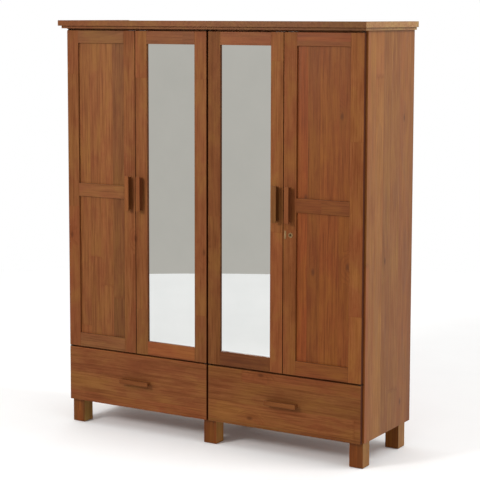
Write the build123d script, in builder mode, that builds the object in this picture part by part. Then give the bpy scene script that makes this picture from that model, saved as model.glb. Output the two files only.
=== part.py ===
"""A four-door armoire in solid wood, with two mirrored doors, two drawers, a stepped cornice and six legs.

Frame: the origin is the middle of the footprint on the floor, +Z is up, the doors face -Y and +X is to the
right of a person who faces the doors. All sizes are in millimetres.
"""
import os
from build123d import *

# ---- Driving dimensions -------------------------------------------------------------------------------------
TOTAL_WIDTH = 1526.0
TOTAL_DEPTH = 497.0
TOTAL_HEIGHT = 1829.0

CORNICE_SIDE_OVERHANG = 18.0
CORNICE_FRONT_OVERHANG = 35.0
CORNICE_BOARD_HEIGHT = 24.5
CORNICE_BOARD_DEPTH = 60.0
CORNICE_BOARD_SIDE_WIDTH = 40.0
CORNICE_STEP_HEIGHT = 11.5
CORNICE_STEP_FRONT = 19.0
CORNICE_STEP_SIDE = 9.5

PANEL = 20.0                    # side panels and dividers
SHELF_BOARD = 18.0              # top, deck, bottom and shelves
BACK_THICKNESS = 6.0
BACK_RECESS = 8.0
BACK_REBATE = 10.0

LEG_HEIGHT = 108.0
LEG_SIZE = 62.0
LEG_SIDE_INSET = 6.0
LEG_REAR_INSET = 35.5
GLIDE_RADIUS = 13.0
GLIDE_HEIGHT = 2.0
GLIDE_STEM_RADIUS = 3.0
GLIDE_STEM = 12.0

FRONT_THICKNESS = 20.0          # doors and drawer fronts
FRONT_GAP = 2.5                 # between the backs of the fronts and the carcass
FRONT_EDGE_INSET = 6.5          # from the outer face of the body to the edge of the outer fronts
CENTRE_GAP = 9.0
PAIR_GAP = 3.0
CORNICE_GAP = 8.5
DRAWER_GAP = 7.5
DRAWER_FRONT_HEIGHT = 244.0

STILE_WIDTH = 60.0
TOP_RAIL = 56.0
MIDDLE_RAIL = 58.5
BOTTOM_RAIL = 61.0
MIDDLE_RAIL_BOTTOM = 1045.0
PANEL_RECESS = 8.0              # from the face of a stile to the face of its panel or mirror
INSET_PANEL = 6.0
JOINT_DEPTH = 8.0               # grooves, rebates and the tongues that fill them
PANEL_PLAY = 1.0
MIRROR_GLASS = 4.0
MIRROR_BACKING = 3.0
BEAD_LAP = 5.0
EASE = 1.2                      # rounding of the edges that a hand meets

HANDLE_LENGTH = 153.0
HANDLE_WIDTH = 21.0
HANDLE_DEPTH = 28.0
HANDLE_LIP = 5.0
HANDLE_COVE = 5.5               # how far the finger cove cuts into each side
HANDLE_FOOT = 2.5               # how far the foot is narrower than the lip on each side
HANDLE_ROUND = 2.0
HANDLE_FROM_EDGE = 28.0

PIVOT_INSET = 7.0               # pivot axis from the hinge edge of a door
PIVOT_SETBACK = 8.0             # pivot axis behind the face of a door
PIN_RADIUS = 2.5
BUSH_RADIUS = 4.0
BUSH_LENGTH = 14.0
BUSH_FLANGE_RADIUS = 6.0
BUSH_FLANGE = 1.0
PIVOT_PLATE = 2.5
PIVOT_PLATE_WIDTH = 14.0
PIVOT_PLATE_LIFT = 2.0          # lower plate above the top of the drawer fronts
PIVOT_LEG = 2.0
PIVOT_END_PLAY = 0.1
RUNNING_CLEARANCE = 0.05        # radial, of every pin and plug, and behind the plug

CATCH_WIDTH = 44.0
CATCH_HEIGHT = 12.0
CATCH_DEPTH = 26.0
CATCH_FROM_EDGE = 30.0
CATCH_PLATE = 1.2

LOCK_FROM_EDGE = 34.0
LOCK_HEIGHT = 948.0
BARREL_RADIUS = 9.0
PLUG_RADIUS = 5.0
PLUG_TAIL = 1.0                 # plug behind the back face of the door
ROSE_RADIUS = 10.75
PLATE_THICKNESS = 1.2
KEYWAY_WIDTH = 1.6
KEYWAY_HEIGHT = 6.5
KEYWAY_DEPTH = 9.0
FACE_PLATE_WIDTH = 8.5
FACE_PLATE_HEIGHT = 34.0
FACE_PLATE_FROM_EDGE = 5.0
FACE_PLATE_EASE = 0.3
CASE_WIDTH = 50.0
CASE_HEIGHT = 62.0
CASE_DEPTH = 12.0
CASE_EDGE_INSET = 1.0
BOLT_LENGTH = 34.0
BOLT_HEIGHT = 20.0
BOLT_DEPTH = 7.0
BOLT_SLACK = 0.1
STRIKE_WIDTH = 17.0
STRIKE_HEIGHT = 40.0
STRIKE_WALL = 2.0
STRIKE_SLACK = 0.4              # strike pocket before and behind the bolt
STRIKE_EDGE_INSET = 1.0

BOX_HEIGHT = 200.0
BOX_LENGTH = 400.0
BOX_BOARD = 12.0
BOX_LIFT = 8.0                  # drawer box above the bottom panel
DRAWER_BOTTOM_THICKNESS = 6.0
DRAWER_BOTTOM_LIFT = 10.0
DRAWER_BOTTOM_GROOVE = 6.0
RUNNER_SPACE = 13.0
RUNNER_HEIGHT = 45.0
RUNNER_WALL = 1.5
RUNNER_WIDTH = 10.0
RUNNER_CLEARANCE = 0.3
RUNNER_SET_BACK = 3.0

HAT_SHELF_TOP = 1498.0
RIGHT_SHELF_TOPS = (745.0, 1150.0, HAT_SHELF_TOP)
SHELF_SET_BACK = 12.0
SHELF_PLAY = 1.0
SHELF_PIN_RADIUS = 2.5
SHELF_PIN_LENGTH = 8.0
SHELF_PIN_INSET = 45.0
ROD_RADIUS = 12.5
ROD_WALL = 1.2
ROD_DROP = 78.0                 # rod centre below the underside of the hat shelf
SOCKET_FLANGE_RADIUS = 23.0
SOCKET_FLANGE = 3.0
SOCKET_RING = 2.5
SOCKET_LENGTH = 12.0

SCREW_HEAD_RADIUS = 4.0
SCREW_HEAD_HEIGHT = 2.0
SCREW_RADIUS = 1.5
SCREW_LENGTH = 18.0
SCREW_EDGE = 5.0
SCREW_ROWS = 7
SCREW_COLUMNS = 4

# ---- Derived places -----------------------------------------------------------------------------------------
BODY_SIDE = TOTAL_WIDTH / 2 - CORNICE_SIDE_OVERHANG
SIDE_INNER = BODY_SIDE - PANEL
DIVIDER_FACE = PANEL / 2
CORNICE_FRONT = -TOTAL_DEPTH / 2
REAR = TOTAL_DEPTH / 2
FACE = CORNICE_FRONT + CORNICE_FRONT_OVERHANG
FRONT_BACK = FACE + FRONT_THICKNESS
CARCASS_FRONT = FRONT_BACK + FRONT_GAP
BACK_FRONT = REAR - BACK_RECESS - BACK_THICKNESS

CORNICE_STEP_TOP = TOTAL_HEIGHT - CORNICE_BOARD_HEIGHT
CORNICE_BOTTOM = CORNICE_STEP_TOP - CORNICE_STEP_HEIGHT
DOOR_TOP = CORNICE_BOTTOM - CORNICE_GAP
DRAWER_TOP = LEG_HEIGHT + DRAWER_FRONT_HEIGHT
DOOR_BOTTOM = DRAWER_TOP + DRAWER_GAP
GAP_MIDDLE = (DRAWER_TOP + DOOR_BOTTOM) / 2
DECK_BOTTOM = GAP_MIDDLE - SHELF_BOARD / 2
DECK_TOP = DECK_BOTTOM + SHELF_BOARD
FLOOR_TOP = LEG_HEIGHT + SHELF_BOARD
ROOF_BOTTOM = CORNICE_STEP_TOP - SHELF_BOARD

FRONT_OUTER = BODY_SIDE - FRONT_EDGE_INSET
FRONT_INNER = CENTRE_GAP / 2
DOOR_WIDTH = (FRONT_OUTER - FRONT_INNER - PAIR_GAP) / 2
PIVOT_Y = FACE + PIVOT_SETBACK
HANDLE_HEIGHT = MIDDLE_RAIL_BOTTOM + MIDDLE_RAIL / 2
SLOT_FRONT = FACE + PANEL_RECESS
GROOVE = (SLOT_FRONT, SLOT_FRONT + INSET_PANEL)
REBATE = (SLOT_FRONT, FRONT_BACK)

BOX_BOTTOM = FLOOR_TOP + BOX_LIFT
BOX_TOP = BOX_BOTTOM + BOX_HEIGHT
BOX_REAR = FRONT_BACK + BOX_LENGTH
RUNNER_MIDDLE = BOX_BOTTOM + BOX_HEIGHT / 2


# ---- Building blocks ----------------------------------------------------------------------------------------
def save(name, *pieces):
    """Write one node. Several pieces stay separate solids in it."""
    node = pieces[0] if len(pieces) == 1 else Compound(children=list(pieces))
    node.label = name
    export_step(node, f"parts/{name}.step")


def rectangle_between(x, y):
    """A rectangle in the active sketch, between two pairs of limits."""
    with Locations(((x[0] + x[1]) / 2, (y[0] + y[1]) / 2)):
        Rectangle(x[1] - x[0], y[1] - y[0])


def block(x, y, z, mode=Mode.ADD):
    """A rectangular block in the active part, between three pairs of limits."""
    with BuildSketch(Plane.XY.offset(z[0])) as base:
        rectangle_between(x, y)
    extrude(base.sketch, amount=z[1] - z[0], mode=mode)


def board(x, y, z, ease=0.0):
    """A plain board between three pairs of limits, with every edge eased."""
    with BuildPart() as plank:
        block(x, y, z)
        if ease:
            fillet(plank.edges(), radius=ease)
    return plank.part


def disc(centre, radius, y, mode=Mode.ADD):
    """A round disc in the active part, its axis along Y, between two limits of Y. Centre is (X, Z)."""
    with BuildSketch(Plane.XZ.offset(-y[1])) as base:
        with Locations(centre):
            Circle(radius)
    extrude(base.sketch, amount=y[1] - y[0], mode=mode)


def post(centre, radius, z, mode=Mode.ADD):
    """A round post in the active part, its axis along Z, between two limits of Z. Centre is (X, Y)."""
    with BuildSketch(Plane.XY.offset(z[0])) as base:
        with Locations(centre):
            Circle(radius)
    extrude(base.sketch, amount=z[1] - z[0], mode=mode)


def outline(points, z):
    """A board with a plan outline given by its corners."""
    with BuildPart() as shape:
        with BuildSketch(Plane.XY.offset(z[0])):
            with BuildLine():
                Polyline(*points, close=True)
            make_face()
        extrude(amount=z[1] - z[0])
        fillet(shape.faces().sort_by(Axis.Z)[-1].edges(), radius=EASE)
    return shape.part


def mirrored(piece):
    """The same piece on the other side of the armoire."""
    return mirror(piece, about=Plane.YZ)


def span(start, length):
    """A pair of limits from a start and a signed length, in rising order."""
    return tuple(sorted((start, start + length)))


# ---- Carcass ------------------------------------------------------------------------------------------------
def side_panel():
    """The left side panel: a glued-up board with a rebate for the back along its rear inner edge."""
    with BuildPart() as panel:
        block((-BODY_SIDE, -SIDE_INNER), (CARCASS_FRONT, REAR), (LEG_HEIGHT, CORNICE_STEP_TOP))
        front_edges = panel.faces().sort_by(Axis.Y)[0].edges().filter_by(Axis.Z)
        fillet(front_edges, radius=EASE)
        rebate_inner = -SIDE_INNER - BACK_REBATE
        block((rebate_inner, -SIDE_INNER), (BACK_FRONT, REAR), (LEG_HEIGHT, CORNICE_STEP_TOP), Mode.SUBTRACT)
    return panel.part


def cornice_corners(side, front, inner_side, inner_front):
    """Plan outlines of the front and left lengths of a three-sided band, mitred at the front corners."""
    front_length = [(-side, front), (side, front), (inner_side, inner_front), (-inner_side, inner_front)]
    left_length = [(-side, front), (-inner_side, inner_front), (-inner_side, REAR), (-side, REAR)]
    return front_length, left_length


def cornice_band(side, front, inner_side, inner_front, z):
    """Front, left and right lengths of one band of the cornice."""
    front_plan, left_plan = cornice_corners(side, front, inner_side, inner_front)
    left_length = outline(left_plan, z)
    return outline(front_plan, z), left_length, mirrored(left_length)


def leg(x, y):
    """One square leg, standing on its glide, with its bottom edges eased."""
    with BuildPart() as square:
        block((x, x + LEG_SIZE), (y, y + LEG_SIZE), (GLIDE_HEIGHT, LEG_HEIGHT))
        fillet(square.edges().filter_by(Axis.Z), radius=EASE)
        fillet(square.faces().sort_by(Axis.Z)[0].edges(), radius=EASE)
    return square.part


def glide(x, y):
    """A nail-on glide: a disc under the leg with a stem pressed into it."""
    centre = (x + LEG_SIZE / 2, y + LEG_SIZE / 2)
    with BuildPart() as foot:
        post(centre, GLIDE_RADIUS, (0, GLIDE_HEIGHT))
        post(centre, GLIDE_STEM_RADIUS, (GLIDE_HEIGHT, GLIDE_HEIGHT + GLIDE_STEM))
    return foot.part


def shelf(x, top):
    """A shelf between two upright faces, resting on four pins."""
    limits = (x[0] + SHELF_PLAY, x[1] - SHELF_PLAY)
    return board(limits, (CARCASS_FRONT + SHELF_SET_BACK, BACK_FRONT), (top - SHELF_BOARD, top))


def shelf_pins(x, top):
    """Four pins under one shelf, half of each pressed into the upright."""
    pins = []
    height = top - SHELF_BOARD - SHELF_PIN_RADIUS
    for face in x:
        for y in (CARCASS_FRONT + SHELF_PIN_INSET, BACK_FRONT - SHELF_PIN_INSET):
            with BuildPart() as pin:
                with BuildSketch(Plane.YZ.offset(face - SHELF_PIN_LENGTH)):
                    with Locations((y, height)):
                        Circle(SHELF_PIN_RADIUS)
                extrude(amount=2 * SHELF_PIN_LENGTH)
            pins.append(pin.part)
    return pins


def hanging_rod(x, y, z):
    """A round steel tube that ends against the flanges of its two sockets."""
    with BuildPart() as rod:
        with BuildSketch(Plane.YZ.offset(x[0] + SOCKET_FLANGE)):
            with Locations((y, z)):
                Circle(ROD_RADIUS)
                Circle(ROD_RADIUS - ROD_WALL, mode=Mode.SUBTRACT)
        extrude(amount=x[1] - x[0] - 2 * SOCKET_FLANGE)
    return rod.part


def rod_socket(face, inward, y, z):
    """A flanged cup on an upright that holds one end of the rod. Inward is +1 or -1 along X."""
    with BuildPart() as socket:
        with BuildSketch(Plane.YZ.offset(face)):
            with Locations((y, z)):
                Circle(SOCKET_FLANGE_RADIUS)
        extrude(amount=inward * SOCKET_FLANGE)
        with BuildSketch(Plane.YZ.offset(face + inward * SOCKET_FLANGE)):
            with Locations((y, z)):
                Circle(ROD_RADIUS + SOCKET_RING)
                Circle(ROD_RADIUS, mode=Mode.SUBTRACT)
        extrude(amount=inward * SOCKET_LENGTH)
    return socket.part


def pivot_bracket(x, upper):
    """The fixed half of a pivot hinge: a plate, a collar and the pin that a door's bush turns on."""
    half = PIVOT_PLATE_WIDTH / 2
    width = (x - half, x + half)
    centre = (x, PIVOT_Y)
    with BuildPart() as bracket:
        if upper:
            plate = (CORNICE_BOTTOM - PIVOT_PLATE, CORNICE_BOTTOM)
            collar = (DOOR_TOP + BUSH_FLANGE + PIVOT_END_PLAY, plate[0])
            pin = (DOOR_TOP - BUSH_LENGTH + PIVOT_END_PLAY, collar[0])
        else:
            plate = span(DRAWER_TOP + PIVOT_PLATE_LIFT, PIVOT_PLATE)
            collar = (plate[1], DOOR_BOTTOM - BUSH_FLANGE - PIVOT_END_PLAY)
            pin = (collar[1], DOOR_BOTTOM + BUSH_LENGTH - PIVOT_END_PLAY)
            block(width, (CARCASS_FRONT - PIVOT_LEG, CARCASS_FRONT), (DECK_BOTTOM, collar[1]))
        block(width, (PIVOT_Y - half, CARCASS_FRONT), plate)
        post(centre, BUSH_FLANGE_RADIUS, collar)
        post(centre, PIN_RADIUS, pin)
    return bracket.part


def runner_channel(web, lip_side, height, y):
    """A steel channel along Y. Web is its outer face, and its lips reach towards lip_side (+1 or -1)."""
    low = RUNNER_MIDDLE - height / 2
    with BuildPart() as channel:
        with BuildSketch(Plane.XZ.offset(-y[1])):
            rectangle_between(span(web, lip_side * RUNNER_WIDTH), (low, low + height))
            hollow = span(web + lip_side * RUNNER_WALL, lip_side * RUNNER_WIDTH)
            with Locations(((hollow[0] + hollow[1]) / 2, RUNNER_MIDDLE)):
                Rectangle(hollow[1] - hollow[0], height - 2 * RUNNER_WALL, mode=Mode.SUBTRACT)
        extrude(amount=y[1] - y[0])
    return channel.part


def back_screw(x, z):
    """A pan-head screw through the back, seen from behind."""
    with BuildPart() as screw:
        disc((x, z), SCREW_HEAD_RADIUS, (REAR - BACK_RECESS, REAR - BACK_RECESS + SCREW_HEAD_HEIGHT))
        rim = screw.faces().sort_by(Axis.Y)[-1].edges()
        fillet(rim, radius=SCREW_HEAD_HEIGHT / 2)
        disc((x, z), SCREW_RADIUS, (REAR - BACK_RECESS - SCREW_LENGTH, REAR - BACK_RECESS))
    return screw.part


def back_screws():
    """Screws round the edges of the two back panels, into the sides, roof, deck, bottom and divider."""
    columns = (-SIDE_INNER - SCREW_EDGE, -SCREW_EDGE, SCREW_EDGE, SIDE_INNER + SCREW_EDGE)
    first, last = LEG_HEIGHT + SHELF_BOARD / 2, CORNICE_STEP_TOP - SHELF_BOARD / 2
    pitch = (last - first) / (SCREW_ROWS - 1)
    heights = [first + row * pitch for row in range(SCREW_ROWS)]
    places = [(x, z) for x in columns for z in heights]
    bay = (SIDE_INNER - DIVIDER_FACE) / (SCREW_COLUMNS + 1)
    for side in (-1, 1):
        for column in range(1, SCREW_COLUMNS + 1):
            x = side * (DIVIDER_FACE + column * bay)
            places += [(x, first), (x, (DECK_BOTTOM + DECK_TOP) / 2), (x, last)]
    return [back_screw(x, z) for x, z in places]


def build_carcass():
    """Every piece that stays put."""
    depth = (CARCASS_FRONT, BACK_FRONT)
    width = (-SIDE_INNER, SIDE_INNER)
    divider = (-DIVIDER_FACE, DIVIDER_FACE)
    left_bay = (-SIDE_INNER, -DIVIDER_FACE)
    right_bay = (DIVIDER_FACE, SIDE_INNER)

    left_side = side_panel()
    save("side_panel_left", left_side)
    save("side_panel_right", mirrored(left_side))
    save("top_panel", board(width, depth, (ROOF_BOTTOM, CORNICE_STEP_TOP)))
    save("deck_panel", board(width, depth, (DECK_BOTTOM, DECK_TOP)))
    save("bottom_panel", board(width, depth, (LEG_HEIGHT, FLOOR_TOP)))
    save("centre_divider", board(divider, depth, (DECK_TOP, ROOF_BOTTOM)))
    save("drawer_divider", board(divider, depth, (FLOOR_TOP, DECK_BOTTOM)))

    back_depth = (BACK_FRONT, BACK_FRONT + BACK_THICKNESS)
    left_back = board((-SIDE_INNER - BACK_REBATE, 0), back_depth, (LEG_HEIGHT, CORNICE_STEP_TOP))
    save("back_panels", left_back, mirrored(left_back))
    save("back_screws", *back_screws())

    step_side = BODY_SIDE + CORNICE_STEP_SIDE
    step_z = (CORNICE_BOTTOM, CORNICE_STEP_TOP)
    steps = cornice_band(step_side, FACE - CORNICE_STEP_FRONT, BODY_SIDE, CARCASS_FRONT, step_z)
    save("cornice_steps", *steps)
    crown_side = TOTAL_WIDTH / 2
    crown_inner = crown_side - CORNICE_BOARD_SIDE_WIDTH
    crown_back = CORNICE_FRONT + CORNICE_BOARD_DEPTH
    crown_z = (CORNICE_STEP_TOP, TOTAL_HEIGHT)
    save("cornice_boards", *cornice_band(crown_side, CORNICE_FRONT, crown_inner, crown_back, crown_z))

    outer_leg = BODY_SIDE - LEG_SIDE_INSET - LEG_SIZE
    leg_columns = (-outer_leg - LEG_SIZE, -LEG_SIZE / 2, outer_leg)
    rear_leg = REAR - LEG_REAR_INSET - LEG_SIZE
    save("legs_front", *[leg(x, CARCASS_FRONT) for x in leg_columns])
    save("legs_rear", *[leg(x, rear_leg) for x in leg_columns])
    save("leg_glides", *[glide(x, y) for x in leg_columns for y in (CARCASS_FRONT, rear_leg)])

    save("shelves", shelf(left_bay, HAT_SHELF_TOP), *[shelf(right_bay, top) for top in RIGHT_SHELF_TOPS])
    pins = shelf_pins(left_bay, HAT_SHELF_TOP)
    for top in RIGHT_SHELF_TOPS:
        pins += shelf_pins(right_bay, top)
    save("shelf_pins", *pins)

    rod_y = (CARCASS_FRONT + BACK_FRONT) / 2
    rod_z = HAT_SHELF_TOP - SHELF_BOARD - ROD_DROP
    save("hanging_rod", hanging_rod(left_bay, rod_y, rod_z))
    save("rod_sockets", rod_socket(left_bay[0], 1, rod_y, rod_z), rod_socket(left_bay[1], -1, rod_y, rod_z))

    pivots = (-FRONT_OUTER + PIVOT_INSET, -FRONT_INNER - PIVOT_INSET)
    pivots += (FRONT_INNER + PIVOT_INSET, FRONT_OUTER - PIVOT_INSET)
    save("pivot_brackets", *[pivot_bracket(x, upper) for x in pivots for upper in (True, False)])

    catches = []
    meeting = FRONT_INNER + DOOR_WIDTH + PAIR_GAP / 2
    for side in (-1, 1):
        for offset in (-CATCH_FROM_EDGE, CATCH_FROM_EDGE):
            middle = side * meeting + offset
            x = (middle - CATCH_WIDTH / 2, middle + CATCH_WIDTH / 2)
            z = (ROOF_BOTTOM - CATCH_HEIGHT, ROOF_BOTTOM)
            catches.append(board(x, span(CARCASS_FRONT, CATCH_DEPTH), z))
    save("door_catches", *catches)

    rail_depth = span(CARCASS_FRONT + RUNNER_SET_BACK, BOX_LENGTH - 2 * RUNNER_SET_BACK)
    left_rails = [
        runner_channel(-SIDE_INNER, 1, RUNNER_HEIGHT, rail_depth),
        runner_channel(-DIVIDER_FACE, -1, RUNNER_HEIGHT, rail_depth),
    ]
    save("drawer_runner_rails", *left_rails, *[mirrored(rail) for rail in left_rails])


# ---- Doors --------------------------------------------------------------------------------------------------
def stile(x, slot, slot_side, hung=False, lock_bore=False):
    """One upright of a door. Slot_side is the side of its inner edge, and a hung stile is bored for bushes."""
    inner = x[1] if slot_side > 0 else x[0]
    with BuildPart() as upright:
        block(x, (FACE, FRONT_BACK), (DOOR_BOTTOM, DOOR_TOP))
        front_edges = upright.faces().sort_by(Axis.Y)[0].edges().filter_by(Axis.Z)
        fillet(front_edges, radius=EASE)
        block(span(inner, -slot_side * JOINT_DEPTH), slot, (DOOR_BOTTOM, DOOR_TOP), Mode.SUBTRACT)
        if hung:
            pivot_x = x[0] + PIVOT_INSET if slot_side > 0 else x[1] - PIVOT_INSET
            for end, inward in ((DOOR_BOTTOM, 1), (DOOR_TOP, -1)):
                post((pivot_x, PIVOT_Y), BUSH_RADIUS, span(end, inward * BUSH_LENGTH), Mode.SUBTRACT)
        if lock_bore:
            disc((x[0] + LOCK_FROM_EDGE, LOCK_HEIGHT), BARREL_RADIUS, (FACE, FRONT_BACK), Mode.SUBTRACT)
    return upright.part


def rail(x, z, slot, below=False, above=False):
    """A cross rail: tongues at both ends fill the stiles' slots, and its own slots hold the panel."""
    tongues = (x[0] - JOINT_DEPTH, x[1] + JOINT_DEPTH)
    with BuildPart() as cross:
        block(x, (FACE, FRONT_BACK), z)
        front_edges = cross.faces().sort_by(Axis.Y)[0].edges().filter_by(Axis.X)
        fillet(front_edges, radius=EASE)
        block(tongues, slot, z)
        if below:
            block(tongues, slot, (z[0], z[0] + JOINT_DEPTH), Mode.SUBTRACT)
        if above:
            block(tongues, slot, (z[1] - JOINT_DEPTH, z[1]), Mode.SUBTRACT)
    return cross.part


def filled_slot(x, z, y):
    """A flat panel that reaches into the slots all round its opening, with a little play."""
    reach = JOINT_DEPTH - PANEL_PLAY
    return board((x[0] - reach, x[1] + reach), y, (z[0] - reach, z[1] + reach))


def beads(x, z):
    """Four strips that hold a mirror and its backing in the rebate, flush with the back of the door."""
    y = (FRONT_BACK - BEAD_LAP, FRONT_BACK)
    outer_x = (x[0] - JOINT_DEPTH, x[1] + JOINT_DEPTH)
    outer_z = (z[0] - JOINT_DEPTH, z[1] + JOINT_DEPTH)
    inner_x = (x[0] + BEAD_LAP, x[1] - BEAD_LAP)
    inner_z = (z[0] + BEAD_LAP, z[1] - BEAD_LAP)
    return [
        board((outer_x[0], inner_x[0]), y, outer_z),
        board((inner_x[1], outer_x[1]), y, outer_z),
        board(inner_x, y, (outer_z[0], inner_z[0])),
        board(inner_x, y, (inner_z[1], outer_z[1])),
    ]


def handle(centre, upright):
    """A wooden bar pull with a finger cove along both sides and both ends. Centre is (X, Z)."""
    x, z = centre
    along, across = Plane.XY.offset(z - HANDLE_LENGTH), Plane.YZ.offset(x - HANDLE_LENGTH)
    if not upright:
        along, across = across, along

    def coved(size, middle, sideways):
        """Outline of the pull at one station: a lip in front, a cove behind it and a narrower foot."""
        half, foot, waist = size / 2, size / 2 - HANDLE_FOOT, size / 2 - HANDLE_COVE
        front, lip = FACE - HANDLE_DEPTH, FACE - HANDLE_DEPTH + HANDLE_LIP
        belly = (lip + FACE) / 2

        def at(offset, y):
            return (middle + offset, y) if sideways else (y, middle + offset)

        with BuildLine() as edge:
            Line(at(-foot, FACE), at(foot, FACE))
            ThreePointArc(at(foot, FACE), at(waist, belly), at(half, lip))
            Polyline(at(half, lip), at(half, front), at(-half, front), at(-half, lip))
            ThreePointArc(at(-half, lip), at(-waist, belly), at(-foot, FACE))
        make_face(edge.edges())

    section_size, end_size = HANDLE_WIDTH, HANDLE_LENGTH
    with BuildPart() as pull:
        with BuildSketch(along):
            coved(section_size, x if upright else z, upright)
        extrude(amount=2 * HANDLE_LENGTH)
        with BuildSketch(across):
            coved(end_size, z if upright else x, not upright)
        extrude(amount=2 * HANDLE_LENGTH, mode=Mode.INTERSECT)
        fillet(pull.faces().sort_by(Axis.Y)[0].edges(), radius=HANDLE_ROUND)
    return pull.part


def pivot_bush(x, end, inward):
    """The flanged bush in one end of a hung stile. Inward is +1 at the bottom of the door and -1 at the top."""
    centre = (x, PIVOT_Y)
    with BuildPart() as bush:
        post(centre, BUSH_RADIUS, span(end, inward * BUSH_LENGTH))
        post(centre, BUSH_FLANGE_RADIUS, span(end, -inward * BUSH_FLANGE))
        bore = span(end - inward * BUSH_FLANGE, inward * (BUSH_FLANGE + BUSH_LENGTH))
        post(centre, PIN_RADIUS + RUNNING_CLEARANCE, bore, Mode.SUBTRACT)
    return bush.part


def catch_plate(x):
    """The steel plate on the back of a door that its magnet holds."""
    z = (DOOR_TOP - CATCH_HEIGHT, DOOR_TOP - EASE)
    return board((x - CATCH_WIDTH / 2, x + CATCH_WIDTH / 2), span(FRONT_BACK, CATCH_PLATE), z)


def build_door(number, left, hinge_side, mirrored_door, locked):
    """One framed door. Hinge_side is -1 when its hinges are on its left edge and +1 on its right."""
    name = f"door_{number}"
    right = left + DOOR_WIDTH
    slot = REBATE if mirrored_door else GROOVE
    opening_x = (left + STILE_WIDTH, right - STILE_WIDTH)
    top_z = (DOOR_TOP - TOP_RAIL, DOOR_TOP)
    bottom_z = (DOOR_BOTTOM, DOOR_BOTTOM + BOTTOM_RAIL)
    middle_z = (MIDDLE_RAIL_BOTTOM, MIDDLE_RAIL_BOTTOM + MIDDLE_RAIL)

    save(
        f"{name}_stiles",
        stile((left, opening_x[0]), slot, 1, hinge_side < 0, locked),
        stile((opening_x[1], right), slot, -1, hinge_side > 0),
    )
    rails = [rail(opening_x, top_z, slot, below=True), rail(opening_x, bottom_z, slot, above=True)]
    if mirrored_door:
        opening_z = (bottom_z[1], top_z[0])
        glass_back = SLOT_FRONT + MIRROR_GLASS
        save(f"{name}_mirror", filled_slot(opening_x, opening_z, (SLOT_FRONT, glass_back)))
        backing = filled_slot(opening_x, opening_z, (glass_back, glass_back + MIRROR_BACKING))
        save(f"{name}_backing", backing)
        save(f"{name}_beads", *beads(opening_x, opening_z))
    else:
        rails.append(rail(opening_x, middle_z, slot, below=True, above=True))
        lower = filled_slot(opening_x, (bottom_z[1], middle_z[0]), GROOVE)
        upper = filled_slot(opening_x, (middle_z[1], top_z[0]), GROOVE)
        save(f"{name}_panels", lower, upper)
    save(f"{name}_rails", *rails)

    hinge_edge = left if hinge_side < 0 else right
    free_edge = right if hinge_side < 0 else left
    save(f"{name}_handle", handle((free_edge + hinge_side * HANDLE_FROM_EDGE, HANDLE_HEIGHT), True))
    pivot_x = hinge_edge - hinge_side * PIVOT_INSET
    bushes = [pivot_bush(pivot_x, DOOR_BOTTOM, 1), pivot_bush(pivot_x, DOOR_TOP, -1)]
    plate_x = free_edge + hinge_side * (CATCH_FROM_EDGE - PAIR_GAP / 2)
    save(f"{name}_fittings", *bushes, catch_plate(plate_x))


def build_doors():
    """Four doors: the outer pair panelled, the inner pair with full-length mirrors."""
    outer, inner = -FRONT_OUTER, -FRONT_INNER - DOOR_WIDTH
    build_door(1, outer, -1, False, False)
    build_door(2, inner, 1, True, False)
    build_door(3, FRONT_INNER, -1, True, False)
    build_door(4, FRONT_OUTER - DOOR_WIDTH, 1, False, True)


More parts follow.
